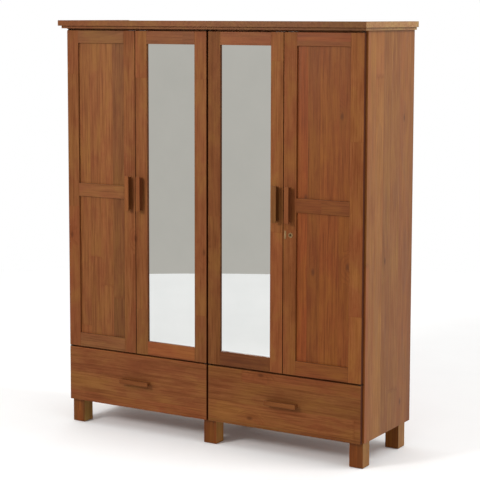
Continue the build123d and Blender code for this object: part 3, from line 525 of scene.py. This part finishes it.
def dress_doors():
    """Each door's stiles, rails, handle, panels and beads have their own boards."""
    for number, (door, (stile, rail, panel)) in enumerate(DOORS.items(), 1):
        seed = 3.1 * number
        # painted shade on the stiles' outer rims
        rim = shaded_rim(f"{door}_stiles")
        look = stained_pine(f"{door}_stile_pine", Z, X, seed, WHOLE_BOARD, stile, painted_shade=rim, shine=FRONT_SHINE)
        set_look(look, f"{door}_stiles")
        set_look(stained_pine(f"{door}_rail_pine", X, Z, seed + 0.7, WHOLE_BOARD, rail), f"{door}_rails")
        set_look(grip_pine(f"{door}_grip_pine", Z, X, seed + 1.9, GRIP_CAST), f"{door}_handle")
        if f"{door}_panels" in nodes:
            name = f"{door}_panel_pine"
            look = stained_pine(name, Z, X, seed + 1.1, PANEL_BOARD, panel, piece_length=PANEL_PIECE)
            set_look(look, f"{door}_panels")
        if f"{door}_beads" in nodes:
            set_look(stained_pine(f"{door}_bead_pine", Z, X, seed + 2.3, WHOLE_BOARD, BEAD_CAST), f"{door}_beads")


def dress_drawers():
    for index, (drawer, cast) in enumerate(DRAWERS.items()):
        seed = 21.0 + 4.3 * index
        # painted shade on the front's outer rims
        front = stained_pine(
            f"{drawer}_front_pine", X, Z, seed, DRAWER_BOARD, cast, piece_length=DRAWER_PIECE,
            painted_shade=shaded_rim(f"{drawer}_front"), shine=FRONT_SHINE,
        )
        set_look(front, f"{drawer}_front")
        set_look(grip_pine(f"{drawer}_grip_pine", X, Z, seed + 1.3, DRAWER_GRIP_CAST), f"{drawer}_handle")
        set_look(clear_pine(f"{drawer}_box_pine", Y, Z, seed + 2.1, BOX_BOARD), f"{drawer}_box_boards")
        set_look(clear_pine(f"{drawer}_bottom_ply", X, Y, seed + 2.9, BOX_PLY), f"{drawer}_bottom")


def dress_carcass():
    # the side panels' cast holds painted light
    for side, seed in (("side_panel_right", 40.3), ("side_panel_left", 47.9)):
        name = f"{side}_pine"
        look = stained_pine(name, Z, Y, seed, SIDE_BOARD, SIDE_TONE_AND_LIGHT, SIDE_CONTRAST, piece_length=UNJOINTED)
        set_look(look, side)
    inside = (
        ("divider_pine", Z, Y, 52.1, ("centre_divider", "drawer_divider")),
        ("board_pine", X, Y, 57.7, ("top_panel", "deck_panel")),
        ("floor_pine", X, Y, 61.3, ("bottom_panel", "shelves")),
    )
    for name, grain, across, seed, boards in inside:
        look = stained_pine(name, grain, across, seed, INSIDE_BOARD, INSIDE_CAST, roughness=INSIDE_ROUGHNESS)
        set_look(look, *boards)
    # painted light on the cornice's ends
    ends = (X, CORNICE_END_PAINTED_LIGHT)
    cornice = stained_pine("cornice_pine", ROUND_CORNERS, Z, 66.9, WHOLE_BOARD, CORNICE_CAST, painted_light=ends)
    set_look(cornice, "cornice_boards", "cornice_steps")
    # painted light on the legs' sides
    for name, seed in (("legs_front", 71.2), ("legs_rear", 76.8)):
        set_look(stained_pine(f"{name}_pine", Z, X, seed, LEG_BOARD, LEG_CAST, painted_light=(X, LEG_SIDE_PAINTED_LIGHT)), name)
    set_look(plywood("back_ply", 83.0), "back_panels")


def dress_fittings():
    set_look(zinc, "back_screws", "shelf_pins", "lock_case", "lock_bolt", "lock_strike", "drawer_runner_rails")
    set_look(zinc, "drawer_left_slides", "drawer_right_slides")
    set_look(bronzed, "pivot_brackets", *[f"{door}_fittings" for door in DOORS])
    set_look(chrome, "hanging_rod", "rod_sockets")
    set_look(brass, "lock_plates")
    set_look(dark_brass, "lock_plug")
    set_look(plastic, "leg_glides", "door_catches")
    set_look(hardboard("pressed_board"), "door_2_backing", "door_3_backing")
    set_look(silvered_glass("silvered_glass"), "door_2_mirror", "door_3_mirror")


dress_doors()
dress_drawers()
dress_carcass()
dress_fittings()


# ---- Screws that the CAD model leaves out -------------------------------------------------------------------
HEAD_RADIUS = 0.0036
HEAD_HEIGHT = 0.0018
HEAD_SIDES = 24
CROWN_STEPS = 5
CROWN_FLAT = 0.55               # share of the radius that the flat middle of the crown takes
CROSS_REACH = 0.0021
CROSS_WIDTH = 0.0007
CROSS_DEPTH = 0.0010
CROSS_TAPER = 0.55              # size of the recess's floor, to its rim's
TURN_STEP = 0.7                 # from the cross of one screw to the next one's, in radians

HANDLE_SCREW_REACH = 0.048      # from the middle of the handle
LOCK_SCREW_INSET = 0.006        # from the edges of the case and of the strike
FLANGE_THICKNESS = 0.003        # of a rod socket
SOCKET_SCREW_REACH = 0.0188     # from the rod's axis
BACKWARD = (0.0, 1.0, 0.0)
RIGHTWARD = (1.0, 0.0, 0.0)
LEFTWARD = (-1.0, 0.0, 0.0)


def cross_outline():
    """The twelve corners of a plus sign, counter-clockwise."""
    long, short = CROSS_REACH, CROSS_WIDTH / 2
    quarter = [(long, -short), (long, short), (short, short)]
    corners = []
    for turn in range(4):
        cosine, sine = round(math.cos(turn * math.pi / 2)), round(math.sin(turn * math.pi / 2))
        corners += [(x * cosine - y * sine, x * sine + y * cosine) for x, y in quarter]
    return corners


def cross_recess(mesh, placed):
    """The walls and floor of the recess. Gives its rim."""
    corners = cross_outline()
    rim = [mesh.verts.new(placed @ Vector((x, y, HEAD_HEIGHT))) for x, y in corners]
    depth = HEAD_HEIGHT - CROSS_DEPTH
    floor = [mesh.verts.new(placed @ Vector((CROSS_TAPER * x, CROSS_TAPER * y, depth))) for x, y in corners]
    for index in range(len(rim)):
        following = (index + 1) % len(rim)
        mesh.faces.new((rim[index], rim[following], floor[following], floor[index]))
    mesh.faces.new(floor)
    return rim


def bridge_to_cross(mesh, ring, rim):
    """Fill between the round top edge of a head and the rim of its recess."""
    share = len(ring) // len(rim)
    for index in range(len(rim)):
        following = (index + 1) % len(rim)
        arc = [ring[(index * share + step - 1) % len(ring)] for step in range(share + 1)]
        mesh.faces.new(arc + [rim[following], rim[index]])


def screw_head(mesh, centre, outward, turn):
    """One pan head with a cross recess, its flat side on centre and its crown towards outward."""
    placed = Matrix.Translation(centre) @ outward.to_track_quat("Z", "Y").to_matrix().to_4x4()
    placed = placed @ Matrix.Rotation(turn, 4, "Z")
    loops = []
    for step in range(CROWN_STEPS + 1):
        rise = math.pi / 2 * step / CROWN_STEPS
        radius = HEAD_RADIUS * (CROWN_FLAT + (1 - CROWN_FLAT) * math.cos(rise))
        height = HEAD_HEIGHT * math.sin(rise)
        loop = []
        for side in range(HEAD_SIDES):
            angle = 2 * math.pi * side / HEAD_SIDES
            point = Vector((radius * math.cos(angle), radius * math.sin(angle), height))
            loop.append(mesh.verts.new(placed @ point))
        loops.append(loop)
    for lower, upper in zip(loops, loops[1:]):
        for side in range(HEAD_SIDES):
            following = (side + 1) % HEAD_SIDES
            mesh.faces.new((lower[side], lower[following], upper[following], upper[side]))
    mesh.faces.new(list(reversed(loops[0])))
    bridge_to_cross(mesh, loops[-1], cross_recess(mesh, placed))


def new_object(name, mesh, material):
    """Turn a bmesh into an object of the scene."""
    data = bpy.data.meshes.new(name)
    mesh.to_mesh(data)
    mesh.free()
    data.materials.append(material)
    piece = bpy.data.objects.new(name, data)
    bpy.context.scene.collection.objects.link(piece)
    return piece


def screws(name, body, look, places):
    """One piece with a screw head at each place, given as (centre, outward)."""
    mesh = bmesh.new()
    for index, (centre, outward) in enumerate(places):
        screw_head(mesh, Vector(centre), Vector(outward), TURN_STEP * index)
    bmesh.ops.recalc_face_normals(mesh, faces=mesh.faces)
    piece = new_object(name, mesh, look)
    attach(piece, body)


def middle(node):
    low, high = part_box(node)
    return (low + high) / 2


def door_screws():
    """Two screws behind each door handle."""
    for door in DOORS:
        grip = middle(f"{door}_handle")
        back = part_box(f"{door}_stiles")[1].y
        heights = (grip.z - HANDLE_SCREW_REACH, grip.z + HANDLE_SCREW_REACH)
        places = [((grip.x, back, height), BACKWARD) for height in heights]
        screws(f"{door}_handle_screws", door, zinc, places)


def drawer_screws():
    """Two screws behind each drawer handle, seen inside the drawer."""
    for drawer in DRAWERS:
        grip = middle(f"{drawer}_handle")
        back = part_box(f"{drawer}_front")[1].y
        widths = (grip.x - HANDLE_SCREW_REACH, grip.x + HANDLE_SCREW_REACH)
        places = [((width, back, grip.z), BACKWARD) for width in widths]
        screws(f"{drawer}_handle_screws", drawer, zinc, places)


def lock_screws():
    """Four screws in the lock case and two in the strike."""
    inset = LOCK_SCREW_INSET
    low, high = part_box("lock_case")
    corners = [(x, high.y, z) for x in (low.x + inset, high.x - inset) for z in (low.z + inset, high.z - inset)]
    screws("lock_case_screws", "door_4", zinc, [(corner, BACKWARD) for corner in corners])
    low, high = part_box("lock_strike")
    heights = (low.z + inset, high.z - inset)
    places = [((middle("lock_strike").x, high.y, height), BACKWARD) for height in heights]
    screws("lock_strike_screws", "door_3", zinc, places)


def socket_screws():
    """Two screws in each flange of the hanging rod."""
    low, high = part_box("rod_sockets")
    axis = middle("rod_sockets")
    places = []
    for x, outward in ((low.x + FLANGE_THICKNESS, RIGHTWARD), (high.x - FLANGE_THICKNESS, LEFTWARD)):
        for height in (axis.z - SOCKET_SCREW_REACH, axis.z + SOCKET_SCREW_REACH):
            places.append(((x, axis.y, height), outward))
    screws("rod_socket_screws", "carcass", chrome, places)


door_screws()
drawer_screws()
lock_screws()
socket_screws()


# ---- Stage, light and camera --------------------------------------------------------------------------------
FLOOR_RADIUS = 4.6
FLOOR_SIDES = 96
FLOOR_TONES = ((0.93, 0.93, 0.925, 1.0), (0.945, 0.945, 0.94, 1.0))
FLOOR_FADE = (1.5, 3.6)         # distance from the armoire's middle: none of the glow, all of it
# painted light: the floor's own glow, strongest at its edge
FLOOR_GLOW = 0.07

WALL_DIRECTION = (-0.595, -0.795, -0.12)
AIR_STOPS = (
    # cosine of the angle to the middle of the wall, colour
    (0.78, WHITE),
    (0.93, (0.680, 0.660, 0.625, 1.0)),
    (1.00, (0.540, 0.520, 0.480, 1.0)),
)

SOFTBOXES = (
    # name, place, target, side, watts, spread in degrees
    ("key_light", (-1.5, -3.6, 2.45), (-0.25, -0.2, 1.35), 0.9, 19.8, 72.0),
    ("side_light", (2.7, 0.5, 3.4), (0.745, 0.0, 1.8), 1.2, 12.0, 90.0),
)

EYE = (3.461, -5.7068, 1.8525)
YAW, PITCH, ROLL = (math.radians(angle) for angle in (-30.98, -6.222, 0.114))
LENS, SENSOR_WIDTH = 114.98, 36.0            # in millimetres
DOWNWARD_SHIFT = -0.12                       # share of the frame's width
CLIP_END = 100.0


def plain_floor():
    """A wide pale floor with a very faint mottling, which a painted glow turns as white as the air towards its
    edge.
    """
    mesh = bmesh.new()
    bmesh.ops.create_circle(mesh, cap_ends=True, segments=FLOOR_SIDES, radius=FLOOR_RADIUS)
    g = Graph("studio_floor")
    mottle = g.noise(g.place, 3.0, 3.0, 0.5)
    distance = g.add("VectorMath", {0: g.place}, operation="LENGTH").outputs["Value"]
    look = g.finish(
        Base_Color=g.blend(g.between(mottle, 0.3, 0.7), *FLOOR_TONES),
        Roughness=0.9,
        Specular_IOR_Level=0.1,
        Emission_Color=WHITE,
        Emission_Strength=g.between(distance, *FLOOR_FADE, 0.0, FLOOR_GLOW),
    )
    new_object("studio_floor", mesh, look)


def studio_air():
    """White air all round, and a warm grey wall to the front left, which is what the mirrors show."""
    world = bpy.data.worlds.new("studio")
    world.use_nodes = True
    tree = world.node_tree
    tree.nodes.clear()
    direction = tree.nodes.new("ShaderNodeTexCoord")
    facing = tree.nodes.new("ShaderNodeVectorMath")
    facing.operation = "DOT_PRODUCT"
    facing.inputs[1].default_value = WALL_DIRECTION
    tree.links.new(direction.outputs["Generated"], facing.inputs[0])
    ramp = tree.nodes.new("ShaderNodeValToRGB")
    stops = ramp.color_ramp.elements
    for position, _ in AIR_STOPS[1:-1]:
        stops.new(position)
    for stop, (position, colour) in zip(stops, AIR_STOPS):
        stop.position = position
        stop.color = colour
    tree.links.new(facing.outputs["Value"], ramp.inputs[0])
    background = tree.nodes.new("ShaderNodeBackground")
    tree.links.new(ramp.outputs[0], background.inputs["Color"])
    output = tree.nodes.new("ShaderNodeOutputWorld")
    tree.links.new(background.outputs[0], output.inputs["Surface"])
    bpy.context.scene.world = world


def softbox(name, place, target, side, power, spread):
    """A square area light that looks at a target, with a grid that narrows it to a spread in degrees."""
    light = bpy.data.lights.new(name, "AREA")
    light.shape = "SQUARE"
    light.size = side
    light.energy = power
    light.spread = math.radians(spread)
    lamp = bpy.data.objects.new(name, light)
    lamp.location = place
    lamp.rotation_mode = "QUATERNION"
    lamp.rotation_quaternion = (Vector(target) - Vector(place)).to_track_quat("-Z", "Y")
    bpy.context.scene.collection.objects.link(lamp)


def camera():
    """A long lens from the front right, a little above the middle, with a small downward shift."""
    data = bpy.data.cameras.new("camera")
    data.lens = LENS
    data.sensor_width = SENSOR_WIDTH
    data.shift_y = DOWNWARD_SHIFT
    data.clip_end = CLIP_END
    eye = bpy.data.objects.new("camera", data)
    eye.location = EYE
    ahead = Vector((math.sin(YAW) * math.cos(PITCH), math.cos(YAW) * math.cos(PITCH), math.sin(PITCH)))
    eye.rotation_mode = "QUATERNION"
    eye.rotation_quaternion = ahead.to_track_quat("-Z", "Y") @ Matrix.Rotation(ROLL, 4, "Z").to_quaternion()
    bpy.context.scene.collection.objects.link(eye)
    bpy.context.scene.camera = eye


plain_floor()
studio_air()
for settings in SOFTBOXES:
    softbox(*settings)
camera()
bpy.context.scene.view_settings.view_transform = "Standard"
